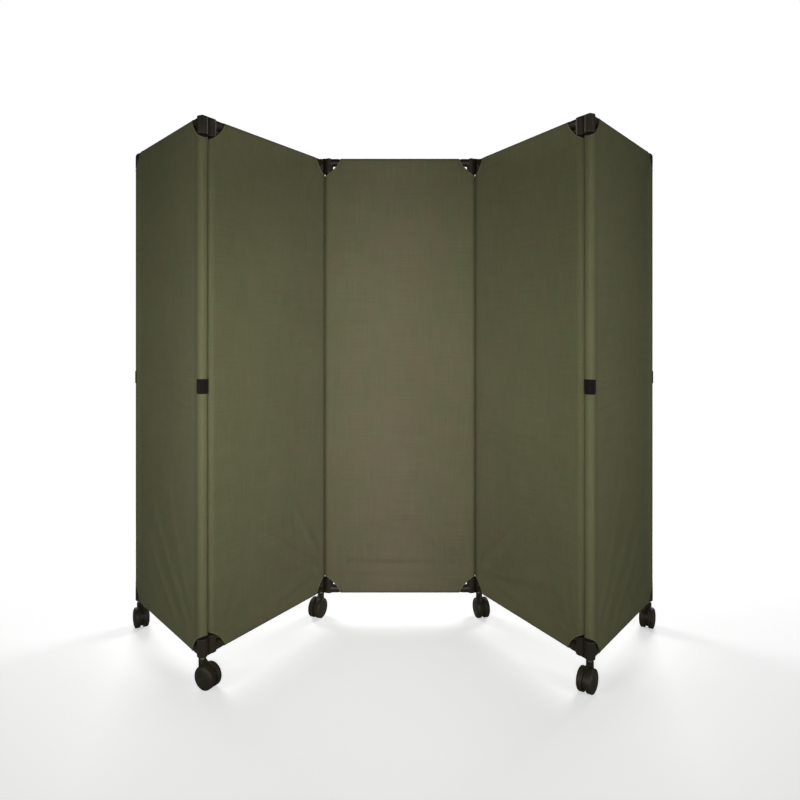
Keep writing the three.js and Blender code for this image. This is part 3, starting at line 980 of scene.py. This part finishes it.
def stitch(place, ahead, out, half_length, half_width, half_height):
    """One stitch: a small bead of thread, pointed at both ends, where it dips into the cloth."""
    across = ahead.cross(out).normalized()
    points = [place - ahead * half_length]
    for along in (-STITCH_SHOULDER, STITCH_SHOULDER):
        for k in range(STITCH_SIDES):
            turn = math.tau * k / STITCH_SIDES
            points.append(
                place
                + ahead * (half_length * along)
                + across * (math.cos(turn) * half_width * STITCH_SWELL)
                + out * (math.sin(turn) * half_height * STITCH_SWELL)
            )
    points.append(place + ahead * half_length)
    faces = []
    for k in range(STITCH_SIDES):
        here, after = 1 + k, 1 + (k + 1) % STITCH_SIDES
        faces.append([0, after, here])
        faces.append([here, after, after + STITCH_SIDES, here + STITCH_SIDES])
        faces.append([here + STITCH_SIDES, after + STITCH_SIDES, len(points) - 1])
    return points, faces


def stitch_rows(name, rows, body, material, pitch, half_width, half_height):
    """Stitches along rows of (place, outward direction) pairs, as one piece."""
    points, faces = [], []
    for row in rows:
        lengths = [0.0]
        for (first, _), (second, _) in zip(row, row[1:]):
            lengths.append(lengths[-1] + (second - first).length)
        count = max(1, int(lengths[-1] / pitch))
        at = 0
        for i in range(count):
            want = (i + 0.5) * lengths[-1] / count
            while at < len(lengths) - 2 and lengths[at + 1] < want:
                at += 1
            share = (want - lengths[at]) / max(lengths[at + 1] - lengths[at], TINY)
            (first, out_a), (second, out_b) = row[at], row[at + 1]
            ahead = (second - first).normalized()
            out = out_a.lerp(out_b, share).normalized()
            sizes = (pitch * STITCH_SHARE, half_width, half_height)
            join(points, faces, *stitch(first.lerp(second, share), ahead, out, *sizes))
    uvs = [(p.x + p.y, p.z) for p in points]
    return add_mesh(name, points, faces, body, material, uvs)


def hem_stitches(panel):
    """Two rows of stitches along each scoop, one on each face, just in from its bound edge."""
    rows = []
    furthest = CLOTH_OUTER * STITCH_LIMIT
    for corner in CORNERS:
        for side in (-1, 1):
            row = []
            for i in range(HEM_STEPS + 1):
                t = i / HEM_STEPS
                before, after = max(t - CURVE_NUDGE, 0.0), min(t + CURVE_NUDGE, 1.0)
                ahead = scoop_curve(after) - scoop_curve(before)
                inward = Vector((-ahead.y, ahead.x)).normalized()
                if inward.dot(Vector((1, -1))) < 0:
                    inward = -inward
                place = scoop_curve(t) + inward * HEM_WIDTH
                place.x = max(place.x, -furthest)
                place.y = min(place.y, furthest)
                x, z = from_corner(panel, corner, place)
                point, direction = surface_point(panel, x, z, side, 0.0)
                inside = 0 < x < panel.width and panel.bottom < z < panel.top
                sunk = slack(panel, x, z, side) if inside else 0.0
                sewn = point - panel.y * (side * sunk) + direction * STITCH_LIFT
                row.append((sewn, direction))
            rows.append(row)
    obj = stitch_rows(
        f"{panel.name}_hem_stitches", rows, panel.name, THREAD,
        pitch=0.0036, half_width=0.00036, half_height=0.00022,
    )
    return obj


for panel_name in PANELS:
    panel = Panel(panel_name)
    cover = sleeve(panel)
    edging = hems(panel)
    sewing = hem_stitches(panel)


# Webbing bands round the end panels' posts

def band_point(panel, post_x, inward, along, z, lift):
    """A point lifted off a band's inner face; along runs round the post, from 0 at its far side."""
    radius = CLOTH_OUTER + BAND_GAP + lift
    half_turn = math.pi / 2
    bend = CLOTH_OUTER * half_turn
    turn = max(-half_turn, min(half_turn, along / bend * half_turn))
    straight = max(abs(along) - bend, 0.0)
    x = -math.cos(turn) * radius + straight
    y = math.sin(turn) * radius
    out = panel.x * (-math.cos(turn) * inward) + panel.y * math.sin(turn)
    return panel.at(post_x + inward * x, y, z), out


def band_lift(along, up, length):
    """The strap's thickness at a point: ribbed, and thinner at its edges and ends."""
    edge = 1 - smoothstep(BAND_EDGE, 1.0, abs(up))
    end = 1 - smoothstep(BAND_END, 1.0, abs(along) / (length / 2))
    rib = BAND_RIB * math.sin(up * math.pi * BAND_RIBS)
    return BAND_THICKNESS * (0.45 + 0.55 * min(edge + 0.25, 1.0) * (0.4 + 0.6 * end)) + rib


def webbing_band(name, panel, post_x, inward):
    """A strap folded round a post, with two rows of stitches across each of its ends."""
    middle = (panel.bottom + panel.top) / 2
    length = CLOTH_OUTER * math.pi + 2 * BAND_REACH
    points, uvs, faces = [], [], []
    for layer in (0, 1):
        for i in range(BAND_COLUMNS + 1):
            along = length * (i / BAND_COLUMNS - 0.5)
            for j in range(BAND_ROWS + 1):
                up = j / BAND_ROWS * 2 - 1
                under = BAND_THICKNESS * BAND_UNDERSIDE
                lift = band_lift(along, up, length) if layer else under
                bow = BAND_BOW * math.sin(along * 90 + up)
                z = middle + up * BAND_HEIGHT / 2 + bow
                points.append(band_point(panel, post_x, inward, along, z, lift)[0])
                uvs.append((along, z))
    width = BAND_ROWS + 1
    sheet = (BAND_COLUMNS + 1) * width

    def face(a, b, c, d):
        faces.append([a, b, c, d] if inward == 1 else [d, c, b, a])

    for i in range(BAND_COLUMNS):
        for j in range(BAND_ROWS):
            first = i * width + j
            second = first + width
            face(first, second, second + 1, first + 1)
            face(sheet + first + 1, sheet + second + 1, sheet + second, sheet + first)
    for i in range(BAND_COLUMNS):
        low, high = i * width, i * width + BAND_ROWS
        face(low, sheet + low, sheet + low + width, low + width)
        face(high + width, sheet + high + width, sheet + high, high)
    for j in range(BAND_ROWS):
        start, end = j, BAND_COLUMNS * width + j
        face(start + 1, sheet + start + 1, sheet + start, start)
        face(end, sheet + end, sheet + end + 1, end + 1)
    obj = add_mesh(f"{name}_strap", points, faces, panel.name, WEBBING, uvs)
    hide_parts(name)

    seams = []
    reach = length / 2 - BAND_SEAM_INSET
    half_seam = BAND_HEIGHT / 2 - BAND_SEAM_INSET
    for sign in (-1, 1):
        for inset in (0.0, BAND_SEAM_SPACING):
            along = sign * (reach - inset)
            heights = [
                middle + (k / (BAND_SEAM_STEPS / 2) - 1) * half_seam
                for k in range(BAND_SEAM_STEPS + 1)
            ]
            seams.append([
                band_point(panel, post_x, inward, along, z, BAND_THICKNESS) for z in heights
            ])
    sewing = stitch_rows(
        f"{name}_stitches", seams, panel.name, WEBBING_THREAD,
        pitch=0.0034, half_width=0.0003, half_height=0.0002,
    )


for side in ("left", "right"):
    panel = Panel(f"end_{side}")
    webbing_band(f"front_band_{side}", panel, 0.0, 1)
    webbing_band(f"end_band_{side}", panel, panel.width, -1)


# Floor and light

def split_by_ray(tree, lit, seen, target):
    """Shows the camera one shader, and lets another one light the part."""
    either = tree.nodes.new("ShaderNodeMixShader")
    ray = tree.nodes.new("ShaderNodeLightPath")
    tree.links.new(ray.outputs["Is Camera Ray"], either.inputs[0])
    tree.links.new(lit, either.inputs[1])
    tree.links.new(seen, either.inputs[2])
    tree.links.new(either.outputs[0], target)


def floor_material():
    """White for the camera, fading out towards the rim, and a duller bounce for all other rays."""
    n = Nodes("floor_pale")
    place = n.coordinates("Object")
    tone = n.noise(place, scale=2.0)
    far = n.add("ShaderNodeVectorMath", operation="LENGTH")
    n.feed(far.inputs[0], place)
    fade = n.add("ShaderNodeMapRange", interpolation_type="SMOOTHSTEP")
    for key, value in (
        ("From Min", FADE_START), ("From Max", FLOOR_REACH - FADE_MARGIN),
        ("To Min", 1.0), ("To Max", 0.0), ("Value", far.outputs["Value"]),
    ):
        n.feed(fade.inputs[key], value)
    n.surface(
        Base_Color=n.ramp(tone, (0.3, (0.84, 0.84, 0.84)), (0.7, (0.86, 0.86, 0.86))),
        Roughness=0.75,
        Emission_Color=(1, 1, 1),
        Emission_Strength=0.45,
        Alpha=fade.outputs["Result"],
    )
    bounce = n.add("ShaderNodeBsdfDiffuse")
    n.feed(bounce.inputs["Color"], (0.30, 0.30, 0.28))
    split_by_ray(n.tree, bounce.outputs[0], n.shader.outputs[0], n.output.inputs["Surface"])
    return n.material


floor_mesh = bpy.data.meshes.new("floor")
angles = [math.tau * i / FLOOR_SIDES for i in range(FLOOR_SIDES)]
rim = [(FLOOR_REACH * math.cos(a), FLOOR_REACH * math.sin(a), 0) for a in angles]
floor_mesh.from_pydata(rim, [], [list(range(FLOOR_SIDES))])
floor = add_object("floor", floor_mesh)
floor.data.materials.append(floor_material())

world = bpy.data.worlds.new("studio")
bpy.context.scene.world = world
world.use_nodes = True
tree = world.node_tree
ambient = tree.nodes["Background"]
ambient.inputs["Color"].default_value = (0.93, 1.0, 0.95, 1)
ambient.inputs["Strength"].default_value = 0.05
backdrop = tree.nodes.new("ShaderNodeBackground")
backdrop.inputs["Color"].default_value = (1, 1, 1, 1)
backdrop.inputs["Strength"].default_value = 1.0
world_surface = tree.nodes["World Output"].inputs["Surface"]
split_by_ray(tree, ambient.outputs[0], backdrop.outputs[0], world_surface)


def add_light(name, data, location, target, power):
    data.energy = power
    light = add_object(name, data)
    light.location = location
    aim = Vector(target) - Vector(location)
    light.rotation_euler = aim.to_track_quat("-Z", "Y").to_euler()


def area_light(name, location, target, size, power):
    data = bpy.data.lights.new(name, "AREA")
    data.shape = "RECTANGLE"
    data.size, data.size_y = size
    add_light(name, data, location, target, power)


def spot_light(name, location, target, half_angle, power, radius):
    data = bpy.data.lights.new(name, "SPOT")
    data.spot_size = math.radians(2 * half_angle)
    data.spot_blend = 1.0
    data.shadow_soft_size = radius
    add_light(name, data, location, target, power)


# Spots: position, aim, half angle in degrees, watts, lamp radius
for spot in (
    ("key", (0.0, -2.2, 1.05), (0.0, 0.27, 0.86), 22, 37, 0.22),
    ("key_wide", (0.0, -2.2, 1.05), (0.0, 0.27, 0.82), 43, 110, 0.22),
    ("key_left", (-0.5, -2.1, 1.05), (-0.35, 0.27, 0.75), 30, 31, 0.22),
    ("side_left", (-3.0, -2.4, 1.1), (-0.2, -0.3, 0.92), 26, 50, 0.5),
    ("side_right", (3.0, -2.4, 1.1), (0.2, -0.3, 0.92), 26, 107, 0.5),
):
    spot_light(*spot)

# Soft boxes: position, aim, width and height, watts
for box in (
    ("fill_left", (-3.0, -2.4, 1.3), (-0.8, -0.25, 0.9), (1.2, 1.6), 20),
    ("fill_right", (3.0, -2.4, 1.3), (0.8, -0.25, 0.9), (1.2, 1.6), 15),
    ("back_left", (-2.2, 2.6, 1.9), (-0.3, 0.1, 0.9), (1.4, 1.4), 60),
    ("back_right", (2.2, 2.6, 1.9), (0.3, 0.1, 0.9), (1.4, 1.4), 60),
):
    area_light(*box)

scene = bpy.context.scene
scene.view_settings.view_transform = "Standard"
scene.view_settings.look = "None"
